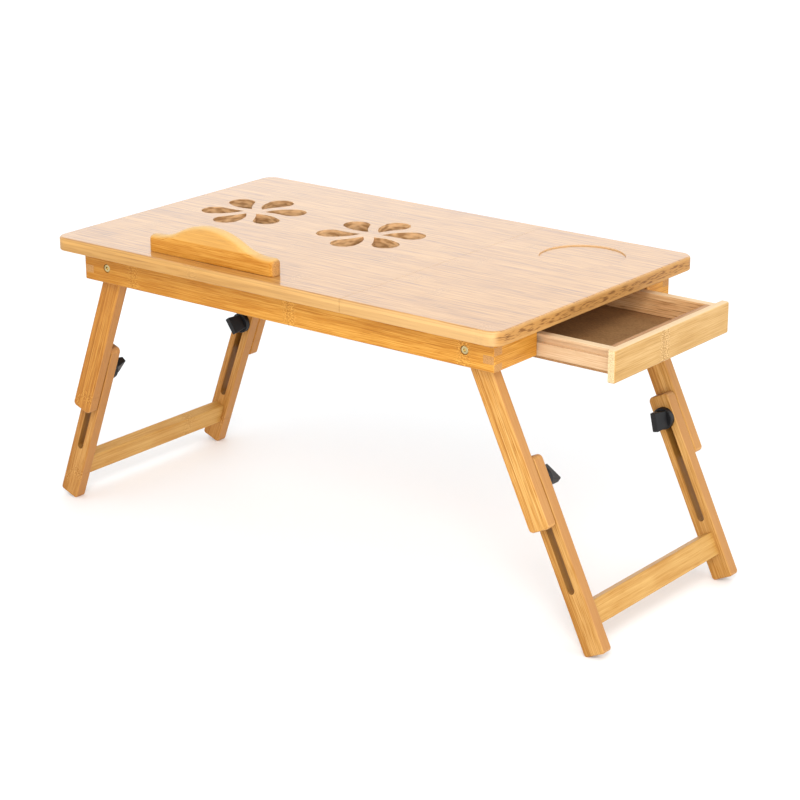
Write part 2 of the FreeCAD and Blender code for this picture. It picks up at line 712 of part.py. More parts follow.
def make_stopper():
    """A board with low flat ends that sweep up to a rounded crown, eased all round."""
    wave, crown = size("stopper_wave"), size("stopper_crown")
    low, peak = size("stopper_end_height"), size("stopper_peak")
    rise = peak - low
    sweep = (wave ** 2 + rise ** 2) / (2 * rise) - crown
    turn = math.asin(wave / (crown + sweep))
    left_end = -size("stopper_peak_from_left")
    right_end = left_end + size("stopper_length")
    middle = size("stopper_left") - left_end

    def point(x, z):
        return FreeCAD.Vector(middle + x, size("stopper_front"), size("stopper_low") + z)

    def on_crown(angle):
        return point(crown * math.sin(angle), peak - crown * (1 - math.cos(angle)))

    def on_sweep(side, angle):
        return point(side * (wave - sweep * math.sin(angle)), low + sweep * (1 - math.cos(angle)))

    corners = [point(-wave, low), point(left_end, low), point(left_end, 0),
               point(right_end, 0), point(right_end, low), point(wave, low)]
    edges = [Part.LineSegment(a, b).toShape() for a, b in zip(corners, corners[1:])]
    edges.append(Part.Arc(point(wave, low), on_sweep(1, turn / 2), on_sweep(1, turn)).toShape())
    edges.append(Part.Arc(on_crown(turn), on_crown(0), on_crown(-turn)).toShape())
    edges.append(Part.Arc(on_sweep(-1, turn), on_sweep(-1, turn / 2), point(-wave, low)).toShape())
    outline = doc.addObject("Part::Feature", "stopper_outline")
    outline.Shape = Part.Face(Part.Wire(edges))
    board = doc.addObject("Part::Extrusion", "stopper_board")
    board.Base = outline
    board.Dir = FreeCAD.Vector(0, 1, 0)
    board.DirMode = "Custom"
    board.Solid = True
    bind(board, {"LengthFwd": "stopper_thickness"})
    floor, top_round = size("stopper_low"), size("stopper_round")
    ends = rounded("stopper_ends", board, "stopper_corner",
                   lambda edge: runs_along(edge, "y")
                   and edge.BoundBox.ZMin > floor + low / 2)
    upper = rounded("stopper_upper", ends, "stopper_round",
                    lambda edge: not runs_along(edge, "y") and not lies_at(edge, "z", floor)
                    and (lies_at(edge, "y", size("stopper_front"))
                         or lies_at(edge, "y", size("stopper_front") + size("stopper_thickness"))))
    eased = rounded("stopper_eased", upper, "stopper_foot_round",
                    lambda edge: lies_at(edge, "z", floor))
    return keep("stopper", cut("stopper_bored", eased, [stopper_dowels]))


make_stopper()

# ---------------------------------------------------------------- drawer

def make_bottom_nails():
    """Flat-headed nails up through the bottom sheet, three into each side."""
    made = []
    for y in ("drawer_front + side_thickness / 2", "drawer_back - side_thickness / 2"):
        for x in ("drawer_rear + nail_inset", "(drawer_rear + drawer_mouth) / 2",
                  "drawer_mouth - nail_inset"):
            number = len(made)
            head = rod(f"nail_head_{number}", "Z", (x, y, "bottom_low"), "nail_head",
                       "nail_head_height")
            shank = rod(f"nail_shank_{number}", "Z", (x, y, "bottom_low"), "nail_radius",
                        "nail_length")
            made.append(fuse(f"nail_{number}", [head, shank]))
    return keep("drawer_bottom_nails", group("bottom_nail_set", made))


def make_drawer():
    inner_front, inner_back = "drawer_front + side_thickness", "drawer_back - side_thickness"
    inner_rear = "drawer_rear + end_thickness"
    inner_mouth = "drawer_mouth - end_thickness"
    sheet_front, sheet_back = "drawer_front + bottom_inset", "drawer_back - bottom_inset"
    nails = make_bottom_nails()
    sheet_blank = box("drawer_bottom_blank",
                      ("drawer_rear + bottom_inset", sheet_front, "bottom_low"),
                      ("drawer_mouth", sheet_back, "drawer_low"))
    keep("drawer_bottom", cut("drawer_bottom_cut", sheet_blank, [nails]))
    for side, low, high, outer in ((FRONT, "drawer_front", inner_front, "drawer_front"),
                                   (BACK, inner_back, "drawer_back",
                                    "drawer_back - groove_depth")):
        word = "front" if side == FRONT else "back"
        blank = box(f"drawer_side_{word}_blank", ("drawer_rear", low, "drawer_low"),
                    ("drawer_mouth", high, "drawer_top"))
        groove = box(f"drawer_groove_{word}",
                     (f"drawer_rear - {PAST}", outer, "groove_top - groove_height"),
                     (f"drawer_mouth + {PAST}", f"{outer} + groove_depth", "groove_top"))
        eased = rounded(f"drawer_side_{word}_eased", blank, "side_ease",
                        lambda edge: runs_along(edge, "x"))
        keep(f"drawer_side_{word}", cut(f"drawer_side_{word}_cut", eased, [groove, nails]))
    rear = box("drawer_rear_blank", ("drawer_rear", inner_front, "drawer_low"),
               (inner_rear, inner_back, "drawer_top"))
    keep("drawer_rear", rounded("drawer_rear_eased", rear, "side_ease",
                                lambda edge: runs_along(edge, "y")))
    screws = []
    for side in (-1, 1):
        start = (f"{inner_mouth} - face_screw_head_height",
                 f"drawer_middle + {side} * face_screw_spacing / 2",
                 "(drawer_low + drawer_top) / 2")
        head = rod(f"face_screw_head_{side + 1}", "X", start, "face_screw_head",
                   "face_screw_head_height")
        shank = rod(f"face_screw_shank_{side + 1}", "X", start, "face_screw_radius",
                    "face_screw_head_height + end_thickness + face_screw_bite")
        screws.append(fuse(f"face_screw_{side + 1}", [head, shank]))
    screws = keep("drawer_face_screws", group("face_screw_set", screws))
    front = box("drawer_box_front_blank", (inner_mouth, inner_front, "drawer_low"),
                ("drawer_mouth", inner_back, "drawer_top"))
    front_eased = rounded("drawer_box_front_eased", front, "side_ease",
                          lambda edge: runs_along(edge, "y"))
    keep("drawer_box_front", cut("drawer_box_front_cut", front_eased, [screws]))
    face = box("drawer_face_blank", ("drawer_mouth", "face_front", "face_low"),
               ("drawer_mouth + face_thickness", "face_back", "face_low + face_height"))
    face_eased = rounded("drawer_face_eased", face, "face_ease",
                         lambda edge: not lies_at(edge, "x", size("drawer_mouth")))
    keep("drawer_face", cut("drawer_face_cut", face_eased, [screws]))


def make_rail(side):
    """A steel channel: a flange under the panel, a web and a tongue in the drawer's groove."""
    word = "front" if side == FRONT else "back"
    if side == FRONT:
        web_low = "drawer_front - rail_gap - rail_thickness"
        web_high = "drawer_front - rail_gap"
        flange = (web_low, f"{web_high} + flange_width")
        tongue = (web_low, f"{web_high} + tongue_depth")
    else:
        web_low = "drawer_back + rail_gap"
        web_high = "drawer_back + rail_gap + rail_thickness"
        flange = (f"{web_low} - flange_width", web_high)
        tongue = (f"{web_low} - tongue_depth", web_high)
    pieces = [
        box(f"rail_flange_{word}", ("rail_rear", flange[0], "apron_top - rail_thickness"),
            ("rail_mouth", flange[1], "apron_top")),
        box(f"rail_web_{word}", ("rail_rear", web_low, "tongue_top - rail_thickness"),
            ("rail_mouth", web_high, "apron_top")),
        box(f"rail_tongue_{word}", ("rail_rear", tongue[0], "tongue_top - rail_thickness"),
            ("rail_mouth", tongue[1], "tongue_top")),
    ]
    whole = fuse(f"rail_{word}_whole", pieces)
    return keep(f"drawer_rail_{word}", cut(f"rail_{word}_drilled", whole, [rail_screws]))


make_drawer()
make_rail(FRONT)
make_rail(BACK)
keep("drawer_stop", box("drawer_stop_block",
                        ("stop_rear", "drawer_middle - stop_width / 2", "apron_top - stop_height"),
                        ("stop_rear + stop_length", "drawer_middle + stop_width / 2",
                         "apron_top")))

# ---------------------------------------------------------------- leg frames

LEG_SIDES = {"left": 1, "right": -1}


def stand(part, side, turn=None):
    """Hang a piece from its leg pivot, leaned out to the splay of that side."""
    lean = FreeCAD.Rotation(FreeCAD.Vector(0, 1, 0), LEG_SIDES[side] * size(side + "_splay"))
    pivot = FreeCAD.Vector(size(side + "_pivot"), 0, size("pivot_height"))
    place = FreeCAD.Placement(pivot, lean)
    part.Placement = place.multiply(part.Placement) if turn is None else place.multiply(turn)
    return part


def make_upper_leg(side):
    """Drawn hanging straight down from the pivot, for the front; the back one mirrors it."""
    name = side + "_upper"
    blank = box(name + "_blank", ("-leg_width / 2", "-upper_out", "-upper_leg_reach"),
                ("leg_width / 2", "-upper_in", "0"))
    ends = rounded(name + "_ends", blank, "upper_end_round",
                   lambda edge: runs_along(edge, "y")
                   and lies_at(edge, "z", -size("upper_leg_reach")))
    eased = rounded(name + "_eased", ends, "leg_ease", lambda edge: runs_along(edge, "z"))
    head = rod(name + "_head", "Y", ("0", "-upper_out", "0"), "leg_width / 2",
               "upper_leg_thickness")
    whole = fuse(name + "_whole", [eased, head])
    bores = [rod(name + "_pivot_bore", "Y", ("0", f"-upper_out - {PAST}", "0"),
                 "bolt_radius + bolt_fit", f"upper_leg_thickness + 2 * {PAST}"),
             rod(name + "_insert_bore", "Y", ("0", "-upper_in - insert_length", "-clamp_reach"),
                 "insert_radius", "insert_length")]
    front = cut(name + "_front_solid", whole, bores)
    keep(f"{side}_front_upper_leg", stand(front, side))
    keep(f"{side}_back_upper_leg", mirror(name + "_back_solid", front))


def make_inserts(side):
    name = side + "_insert"
    shell = rod(name + "_shell", "Y", ("0", "-upper_in - insert_length", "-clamp_reach"),
                "insert_radius", "insert_length")
    bore = rod(name + "_bore", "Y", ("0", f"-upper_in - insert_length - {PAST}", "-clamp_reach"),
               "stud_radius + stud_fit", f"insert_length + 2 * {PAST}")
    front = stand(cut(name + "_front", shell, [bore]), side)
    keep(side + "_clamp_inserts", group(name + "_pair", [front, mirror(name + "_back", front)]))


def make_lower_frame(side):
    name = side + "_lower"
    reach = "left_leg_reach" if side == "left" else "right_leg_reach"
    blank = box(name + "_blank", ("-leg_width / 2", "-lower_out", f"-{reach}"),
                ("leg_width / 2", "-lower_in", f"-{reach} + lower_leg_length"))
    foot = rounded(name + "_foot", blank, "foot_round",
                   lambda edge: runs_along(edge, "y") and lies_at(edge, "z", -size(reach)))
    ends = rounded(name + "_ends", foot, "lower_end_round",
                   lambda edge: runs_along(edge, "y")
                   and lies_at(edge, "z", size("lower_leg_length") - size(reach)))
    eased = rounded(name + "_eased", ends, "leg_ease", lambda edge: runs_along(edge, "z"))
    low = f"-{reach} + slot_from_foot"
    high = f"-{reach} + lower_leg_length - slot_from_end"
    slot = [box(name + "_slot",
                ("-slot_width / 2", f"-lower_out - {PAST}", f"{low} + slot_width / 2"),
                ("slot_width / 2", f"-lower_in + {PAST}", f"{high} - slot_width / 2"))]
    for word, height in (("low", f"{low} + slot_width / 2"), ("high", f"{high} - slot_width / 2")):
        slot.append(rod(f"{name}_slot_{word}", "Y", ("0", f"-lower_out - {PAST}", height),
                        "slot_width / 2", f"lower_leg_thickness + 2 * {PAST}"))
    dowel = rod(name + "_dowel", "Y", ("0", "-lower_in - dowel_in_leg",
                                      f"-{reach} + stretcher_from_foot"),
                "dowel_radius", "dowel_in_leg + dowel_in_stretcher")
    dowel_back = mirror(name + "_dowel_back", dowel)
    slotted = cut(name + "_slotted", eased, [fuse(name + "_slot_tool", slot), dowel])
    keep(f"{side}_front_lower_leg", stand(slotted, side))
    keep(f"{side}_back_lower_leg", mirror(name + "_back_solid", slotted))
    rail = box(name + "_rail", ("-stretcher_thickness / 2", "-lower_in",
                                f"-{reach} + stretcher_from_foot - stretcher_depth / 2"),
               ("stretcher_thickness / 2", "lower_in",
                f"-{reach} + stretcher_from_foot + stretcher_depth / 2"))
    rail_eased = rounded(name + "_rail_eased", rail, "leg_ease",
                         lambda edge: runs_along(edge, "y"))
    bored = cut(name + "_rail_bored", rail_eased, [group(name + "_dowel_tools",
                                                         [dowel, dowel_back])])
    keep(side + "_stretcher", stand(bored, side))
    keep(side + "_stretcher_dowels", stand(group(name + "_dowel_pair", [dowel, dowel_back]), side))


def make_knob(side, end):
    """A moulded wing knob on its stud, drawn on the inside of a front leg."""
    word = "front" if end == FRONT else "back"
    label = f"{side}_{word}_knob"
    base = rod(label + "_base", "Y", ("0", "0", "0"), "knob_base_radius", "knob_base_height")
    base_eased = rounded(label + "_base_eased", base, "knob_ease",
                         lambda edge: lies_at(edge, "y", size("knob_base_height")))
    wing = doc.addObject("Part::Wedge", label + "_wing")
    bind(wing, {"Xmin": "-wing_root_width / 2", "Xmax": "wing_root_width / 2",
                "Zmin": "-wing_root_length / 2", "Zmax": "wing_root_length / 2",
                "X2min": "-wing_tip_width / 2", "X2max": "wing_tip_width / 2",
                "Z2min": "-wing_tip_length / 2", "Z2max": "wing_tip_length / 2",
                "Ymin": "knob_base_height / 2", "Ymax": "knob_height"})
    wing_eased = rounded(label + "_wing_eased", wing, "knob_ease",
                         lambda edge: not lies_at(edge, "y", size("knob_base_height") / 2))
    whole = fuse(label + "_whole", [base_eased, wing_eased])
    stud = rod(label + "_stud_rod", "Y",
               ("0", "-knob_gap - lower_leg_thickness - slide_gap - stud_in_insert", "0"),
               "stud_radius",
               "knob_gap + lower_leg_thickness + slide_gap + stud_in_insert + stud_in_knob")
    knob = cut(label + "_bored", whole, [stud])
    for piece, name in ((knob, label), (stud, label + "_stud")):
        turned = group(name + "_placed", [piece])
        turn = FreeCAD.Rotation(FreeCAD.Vector(0, 1, 0), size(f"{side}_{word}_turn"))
        seat = FreeCAD.Vector(0, -size("lower_in") + size("knob_gap"), -size("clamp_reach"))
        stand(turned, side, FreeCAD.Placement(seat, turn))
        keep(name, turned if end == FRONT else mirror(name + "_mirrored", turned))


for leg_side in LEG_SIDES:
    make_upper_leg(leg_side)
    make_inserts(leg_side)
    make_lower_frame(leg_side)
    for leg_end in (FRONT, BACK):
        make_knob(leg_side, leg_end)

# ---------------------------------------------------------------- pivot bolts, nuts and washers

def prism(name, radius, start, length):
    """A hexagonal bar along +Y."""
    part = doc.addObject("Part::Prism", name)
    part.Polygon = 6
    part.Placement.Rotation = TURN_TO["Y"]
    bind(part, {"Circumradius": radius, "Height": length})
    return at(part, *start)


def make_pivots():
    bolts, nuts, washers = [], [], []
    washer_out = "upper_in - washer_gap"
    nut_out = f"{washer_out} - washer_thickness"
    shank_in = f"{nut_out} - nut_height"
    head_out = "(-frame_half + head_sink - head_height)"
    for side in LEG_SIDES:
        x = side + "_pivot"
        shank = rod(side + "_shank", "Y", (x, "-frame_half + head_sink", "pivot_height"),
                    "bolt_radius", f"frame_half - head_sink - ({shank_in})")
        head = rod(side + "_head", "Y", (x, head_out, "pivot_height"), "head_radius",
                   "head_height")
        head_round = rounded(side + "_head_round", head, "head_ease",
                             lambda edge: lies_at(edge, "y", size("head_sink")
                                                  - size("head_height") - size("frame_half")))
        socket = prism(side + "_socket", "socket_radius",
                       (x, f"{head_out} - {PAST}", "pivot_height"), f"socket_depth + {PAST}")
        bolts.append(cut(side + "_bolt", fuse(side + "_bolt_whole", [shank, head_round]),
                         [socket]))
        washer = rod(side + "_washer_disc", "Y", (x, f"-({washer_out})", "pivot_height"),
                     "washer_radius", "washer_thickness")
        washers.append(cut(side + "_washer", washer, [shank]))
        nut = prism(side + "_nut_blank", "nut_radius", (x, f"-({nut_out})", "pivot_height"),
                    "nut_height")
        nuts.append(cut(side + "_nut", nut, [shank]))
    for label, fronts in (("pivot_bolts", bolts), ("pivot_nuts", nuts),
                          ("pivot_washers", washers)):
        backs = [mirror(f"{label}_back_{number}", part) for number, part in enumerate(fronts)]
        keep(label, group(label + "_set", fronts + backs))


make_pivots()

# ---------------------------------------------------------------- check and write

doc.recompute()
broken = [part.Name for part in doc.Objects if {"Invalid", "Error"} & set(part.State)]
broken += [part.Label for part in nodes if part.Shape.isNull() or not part.Shape.isValid()]
if broken:
    raise RuntimeError("not built: " + ", ".join(broken))

os.makedirs("parts", exist_ok=True)
for part in nodes:
    part.Shape.exportStep(f"parts/{part.Label}.step")
print(len(nodes), "pieces written")
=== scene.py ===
import json
import math

import bpy
from mathutils import Matrix, Vector


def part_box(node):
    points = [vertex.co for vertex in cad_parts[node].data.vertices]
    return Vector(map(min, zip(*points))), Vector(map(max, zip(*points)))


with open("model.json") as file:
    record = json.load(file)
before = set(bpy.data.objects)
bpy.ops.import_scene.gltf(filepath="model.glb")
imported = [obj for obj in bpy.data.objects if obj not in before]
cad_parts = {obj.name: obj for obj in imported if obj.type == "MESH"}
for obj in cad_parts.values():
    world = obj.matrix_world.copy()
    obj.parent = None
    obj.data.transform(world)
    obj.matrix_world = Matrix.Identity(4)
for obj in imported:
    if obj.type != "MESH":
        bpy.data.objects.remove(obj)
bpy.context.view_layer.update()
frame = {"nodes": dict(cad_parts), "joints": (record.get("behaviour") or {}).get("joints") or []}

nodes = frame["nodes"]
joints = {joint["name"]: joint for joint in frame["joints"]}
MM = 1000           # millimetres in a metre

# ---- Apron frame --------------------------------------------------------------------------
# A low frame of honey bamboo boards, each laminated from narrow strips on edge, with finger
# joints at the corners. The boards are sanded, rubbed down at the edges and sealed in satin
# lacquer, so the fibres and the pale knuckles of the cane show through.

SIDEWAYS = Vector((1, 0, 0))
BACKWARDS = Vector((0, 1, 0))
UPWARDS = Vector((0, 0, 1))


class Grain:
    """A value inside one finish. Sums written with it add Math nodes to the finish."""

    def __init__(self, tree, socket=None):
        self.tree = tree
        self.socket = socket

    def node(self, kind, settings, sockets, out=0):
        """Add a shader node: its settings first, then its socket values or links."""
        made = self.tree.nodes.new("ShaderNode" + kind)
        for name, value in settings.items():
            if name == "stops":
                lay_stops(made.color_ramp, value)
            else:
                setattr(made, name, value)
        for name, value in sockets.items():
            if isinstance(value, Grain):
                self.tree.links.new(value.socket, made.inputs[name])
            else:
                made.inputs[name].default_value = value
        return Grain(self.tree, made.outputs[out])

    def sum(self, operation, *values):
        return self.node("Math", {"operation": operation}, dict(enumerate(values)))

    def __add__(self, other):
        return self.sum("ADD", self, other)

    def __sub__(self, other):
        return self.sum("SUBTRACT", self, other)

    def __rsub__(self, other):
        return self.sum("SUBTRACT", other, self)

    def __mul__(self, other):
        return self.sum("MULTIPLY", self, other)

    def __truediv__(self, other):
        return self.sum("DIVIDE", self, other)

    def __abs__(self):
        return self.sum("ABSOLUTE", self)

    def whole(self):
        return self.sum("FLOOR", self)

    def fade(self, start, end):
        """0 before start and 1 after end, with a soft step between them."""
        return self.node("MapRange", {"interpolation_type": "SMOOTHSTEP"},
                         {"Value": self, "From Min": start, "From Max": end})

    def along(self, direction):
        return self.node("VectorMath", {"operation": "DOT_PRODUCT"},
                         {0: self, 1: tuple(direction)}, "Value")

    def mixed(self, colour, amount):
        """This colour, turned towards another by an amount from 0 to 1."""
        return self.node("Mix", {"data_type": "RGBA"}, {0: amount, 6: self, 7: colour}, 2)

    def toned(self, amount):
        """This colour, made lighter or darker by a factor that varies."""
        return self.node("VectorMath", {"operation": "SCALE"}, {0: self, "Scale": amount})


Grain.__radd__ = Grain.__add__
Grain.__rmul__ = Grain.__mul__


def lay_stops(ramp, stops):
    while len(ramp.elements) < len(stops):
        ramp.elements.new(1.0)
    for element, (position, colour) in zip(ramp.elements, stops):
        element.position = position
        element.color = colour


def shade(red, green, blue):
    """A colour as a paint card gives it, 0 to 255, turned into linear light values."""
    def light(part):
        part /= 255
        return part / 12.92 if part <= 0.04045 else ((part + 0.055) / 1.055) ** 2.4
    return (light(red), light(green), light(blue), 1.0)


def new_finish(name, roughness, coat=0.0, coat_roughness=0.1, gloss=0.5):
    """An empty finish: the material, its shader and a first value to build on."""
    finish = bpy.data.materials.new(name)
    finish.use_nodes = True
    shader = finish.node_tree.nodes["Principled BSDF"]
    shader.inputs["Roughness"].default_value = roughness
    shader.inputs["Coat Weight"].default_value = coat
    shader.inputs["Coat Roughness"].default_value = coat_roughness
    shader.inputs["Specular IOR Level"].default_value = gloss
    return finish, shader, Grain(finish.node_tree)


def feed(shader, socket, value):
    value.tree.links.new(value.socket, shader.inputs[socket])


def bamboo(name, along, across, middle=(0, 0, 0), strip=7.1, tone=(182, 118, 34),
           light=(222, 166, 76), dark=(140, 84, 22), end=(190, 138, 82), knuckle_pitch=230,
           knuckle_shift=0.37, scatter=0.83, knuckles=0.6, streaks=0.9, soft=0.35, strips=0.3,
           glue=0.3, grain=0.8, roughness=0.45, coat=0.05, coat_roughness=0.25, gloss=0.16,
           ply=None, relief=0.25):
    """Laminated bamboo: strips of cane run along one way and lie side by side across another.

    strip, grain and knuckle_pitch are in mm; scatter moves each strip's knuckles; streaks, soft,
    strips, glue and knuckles are the strengths of the fibres, the long bands, the strips'
    different tints, the glue lines and the knuckles; ply(...) lays further colours on top.
    """
    finish, shader, start = new_finish(name, roughness, coat, coat_roughness, gloss)
    deep = Vector(along).cross(Vector(across))
    place = start.node("TexCoord", {}, {}, "Object")
    place = start.node("VectorMath", {"operation": "SUBTRACT"}, {0: place, 1: tuple(middle)})
    facing = start.node("TexCoord", {}, {}, "Normal")
    run, width, depth = (place.along(way) * MM for way in (along, across, deep))
    front = facing.along(deep)

    # each strip has its own tint, and its knuckles stand at their own places
    slot = width / strip + 0.5
    number = slot.whole()
    share = slot - number
    lot = start.node("TexWhiteNoise", {"noise_dimensions": "1D"}, {"W": number + 3.3})
    seam = abs(share - 0.5).fade(0.5 - 0.5 / strip, 0.5)

    # fibres: long soft bands, thin streaks and short dark bundles
    def fibres(long, thin, detail, shift):
        spot = start.node("CombineXYZ", {}, {0: run / long + lot * shift, 1: width / thin,
                                             2: depth / thin})
        return start.node("TexNoise", {}, {"Vector": spot, "Scale": 1.0, "Detail": detail,
                                           "Roughness": 0.55})
    bands = fibres(190, 5.5, 1.0, 9.0)
    thin = fibres(30 + 28 * grain, grain, 2.0, 31.0)
    bundles = fibres(12 + 8 * grain, 0.7 * grain, 1.0, 57.0).fade(0.54, 0.68)
    cloud = start.node("TexNoise", {}, {"Vector": place, "Scale": 22.0, "Detail": 1.0})

    # at a knuckle the fibres break up into pale and dark squiggles beside a faint line
    wave = start.node("TexNoise", {}, {"Vector": place, "Scale": 240.0, "Detail": 2.0})
    spot = (run + (wave - 0.5) * 3.2) / knuckle_pitch + lot * scatter + knuckle_shift
    beside = (spot - spot.whole() - 0.5) * knuckle_pitch
    line = 1 - abs(beside).fade(0.3, 1.6)
    squiggles = fibres(1.9, 0.9, 1.0, 13.0)
    near = (1 - abs(beside - 2).fade(3.0, 10.0)) * knuckles

    level = 0.54 + (bands - 0.5) * soft + (thin - 0.5) * streaks + (lot - 0.5) * strips * 0.5
    level = level + (cloud - 0.5) * 0.25 - bundles * 0.2 * streaks
    colour = start.node("ValToRGB", {"stops": ((0.12, shade(*dark)), (0.46, shade(*tone)),
                                               (0.86, shade(*light)))}, {"Fac": level})
    colour = colour.mixed(shade(*light), near * squiggles.fade(0.50, 0.62) * 0.8)
    colour = colour.mixed(shade(*dark), near * (1 - squiggles.fade(0.36, 0.50)) * 0.55)
    colour = colour.mixed(shade(*dark), line * 0.25 * knuckles + seam * glue)

    # cut ends show the fibres as dots and take up more of the lacquer
    cut = abs(facing.along(along)).fade(0.55, 0.9)
    dots = fibres(0.8, 0.8, 1.0, 0.0)
    ends = start.node("ValToRGB", {"stops": ((0.34, shade(*(0.78 * part for part in end))),
                                             (0.58, shade(*end)))}, {"Fac": dots})
    colour = colour.mixed(ends, cut * 0.85)
    if ply:
        colour = ply(start, colour, run, width, depth, front, cut)
        feed(shader, "Coat Weight", coat * (0.12 + front.fade(0.5, 0.9) * 0.88))
    feed(shader, "Base Color", colour)
    feed(shader, "Roughness", roughness + (thin - 0.5) * 0.16 + cut * 0.15)
    height = thin * 0.5 + bundles * -0.6 + seam * -0.8 + line * 0.5 + dots * cut
    feed(shader, "Normal", start.node("Bump", {}, {"Strength": relief, "Distance": 0.00012,
                                                   "Height": height}))
    return finish


def dress(finish, *names):
    """Give CAD nodes a finish in every material slot."""
    for name in names:
        slots = nodes[name].material_slots
        if not slots:
            nodes[name].data.materials.append(finish)
        for slot in slots:
            slot.material = finish


apron_low, apron_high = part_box("front_apron")
apron_middle = (apron_low + apron_high) / 2
LEFT_SHADE_FROM, LEFT_SHADE_TO = 60, -280   # where the painted shade towards the left end starts and is full, in mm


def left_end_painted_shade(start, colour, run, width, depth, front, cut):
    """Painted shade: the long boards turn darker and more golden towards their left end."""
    return colour.mixed(shade(150, 88, 4), (1 - run.fade(LEFT_SHADE_TO, LEFT_SHADE_FROM)) * 0.45)


dress(bamboo("apron bamboo", SIDEWAYS, UPWARDS, apron_middle, strip=28.6, strips=0.1,
             knuckle_pitch=186, knuckle_shift=0.6, knuckles=0.9, ply=left_end_painted_shade),
      "front_apron", "back_apron")
dress(bamboo("end board bamboo", BACKWARDS, UPWARDS, apron_middle, strip=28.6, strips=0.1,
             knuckle_shift=0.71), "left_end_board", "right_front_return", "right_back_return")
dress(bamboo("seam strip bamboo", BACKWARDS, SIDEWAYS), "seam_strip")

# ---- Top panels ---------------------------------------------------------------------------
# Two panels of edge-glued bamboo, 12.5 mm thick, cut from one board so that the strips run on
# across the seam. The faces have a clear gloss lacquer; the routed outer edges are pale, with
# painted light making them paler towards the right end, and the walls of the flower vents are
# scorched brown by the router, with painted shade making them darker towards the bottom.

panel_low, panel_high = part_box("tilt_panel")
fixed_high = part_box("fixed_panel")[1]
deck_top = Vector(((panel_low.x + fixed_high.x) / 2, 0, panel_high.z))
left_end = (panel_low.x - deck_top.x) * MM
right_end = (fixed_high.x - deck_top.x) * MM
seam_run = (panel_high.x - deck_top.x) * MM
half_width = panel_high.y * MM
# all in mm: the depths of a finer line, of the joint between a panel's two layers and of the
# panel's middle; how far the outer edges reach in from the ends and from the long sides, and
# how far they fade out; and how far before the seam the scorched walls end
FINE_LINE, LAYER_JOINT, PANEL_MIDDLE = 2, 5, 6.25
END_REACH, SIDE_REACH, EDGE_FADE = 8, 10, 8
SEAM_REACH, SEAM_FADE = 8, 4


def routed_edges(start, colour, run, width, depth, up, cut):
    """Pale outer edges with painted light towards the right end, flecked end grain at the short
    sides, brown walls in the vents with painted shade deeper down.

    The wall of the cup recess, to the right of the seam, is pale.
    """
    def mottle(long, thick, *stops):
        spot = start.node("CombineXYZ", {}, {0: run / long, 1: width / long, 2: depth / thick})
        blur = start.node("TexNoise", {}, {"Vector": spot, "Scale": 1.0, "Detail": 1.0})
        return start.node("ValToRGB", {"stops": stops}, {"Fac": blur})

    layer = (depth + LAYER_JOINT).fade(-0.3, 0.3)
    line = 1 - abs(depth + FINE_LINE).fade(0.2, 1.0)
    pale = colour.mixed(shade(206, 158, 90), 0.4 + layer * 0.2)
    # painted light: the edges grow paler towards the right end
    pale = pale.mixed(shade(220, 180, 126), run.fade(-100, 240) * 0.5)
    pale = pale.toned(0.84 + layer * 0.16 - line * 0.16)
    flecked = mottle(10, 1.2, (0.37, shade(124, 80, 36)), (0.52, shade(178, 128, 68)))
    rims = abs(depth + PANEL_MIDDLE).fade(2.6, 4.2)
    pale = pale.mixed(flecked.mixed(shade(186, 138, 78), rims * 0.85), cut)

    left, right = left_end + END_REACH, right_end - END_REACH
    side = half_width - SIDE_REACH
    inner = run.fade(left, left + EDGE_FADE) * (1 - run.fade(right - EDGE_FADE, right))
    inner = inner * (1 - abs(width).fade(side - EDGE_FADE, side))
    scorched = mottle(9, 2.4, (0.36, shade(146, 106, 66)), (0.64, shade(202, 160, 114)))
    past_seam = run.fade(seam_run - SEAM_REACH, seam_run - SEAM_REACH + SEAM_FADE)
    # the vent walls are scorched brown, and darkened towards the bottom as painted shade; the
    # cup wall past the seam is pale
    walls = scorched.toned(1.14 + depth * 0.03).mixed(shade(220, 182, 136), past_seam)
    return colour.mixed(pale.mixed(walls, inner), 1 - abs(up).fade(0.5, 0.9))


dress(bamboo("top bamboo", SIDEWAYS, BACKWARDS, deck_top, strip=20.3,
             tone=(184, 129, 62), light=(210, 158, 90), dark=(146, 98, 52),
             end=(200, 148, 84), strips=0.2, glue=0.2, grain=2.3, streaks=1.3, soft=0.1,
             knuckle_pitch=310, coat=0.88, coat_roughness=0.11, gloss=0.2,
             ply=routed_edges, relief=0.12),
      "tilt_panel", "fixed_panel")

# ---- Book stop ----------------------------------------------------------------------------
# A small sawn board with a wave along its upper edge, rounded over all round, that stands on
# two dowels in the front of the tilting panel. It is glued up from a golden and a paler strip.

stop_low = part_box("stopper")[0]
PALE_STRIP = 16     # height of the joint between the two strips above the panel, in mm
JOINT_BLUR = 0.4    # half the width of that joint's soft edge, in mm


def two_strips(start, colour, run, width, depth, front, cut):
    """The upper strip is paler, and the faces that point up carry a painted highlight."""
    upper = width.fade(PALE_STRIP - JOINT_BLUR, PALE_STRIP + JOINT_BLUR)
    up_highlight = start.node("TexCoord", {}, {}, "Normal").along(UPWARDS).fade(0.4, 0.95)
    colour = colour.mixed(colour.mixed(shade(216, 170, 98), 0.5), upper)
    return colour.mixed(shade(228, 196, 138), up_highlight * 0.5)


dress(bamboo("book stop bamboo", SIDEWAYS, UPWARDS, (stop_low.x, 0, stop_low.z), strip=80,
             tone=(178, 112, 28), light=(214, 156, 68), knuckles=0.0, ply=two_strips), "stopper")


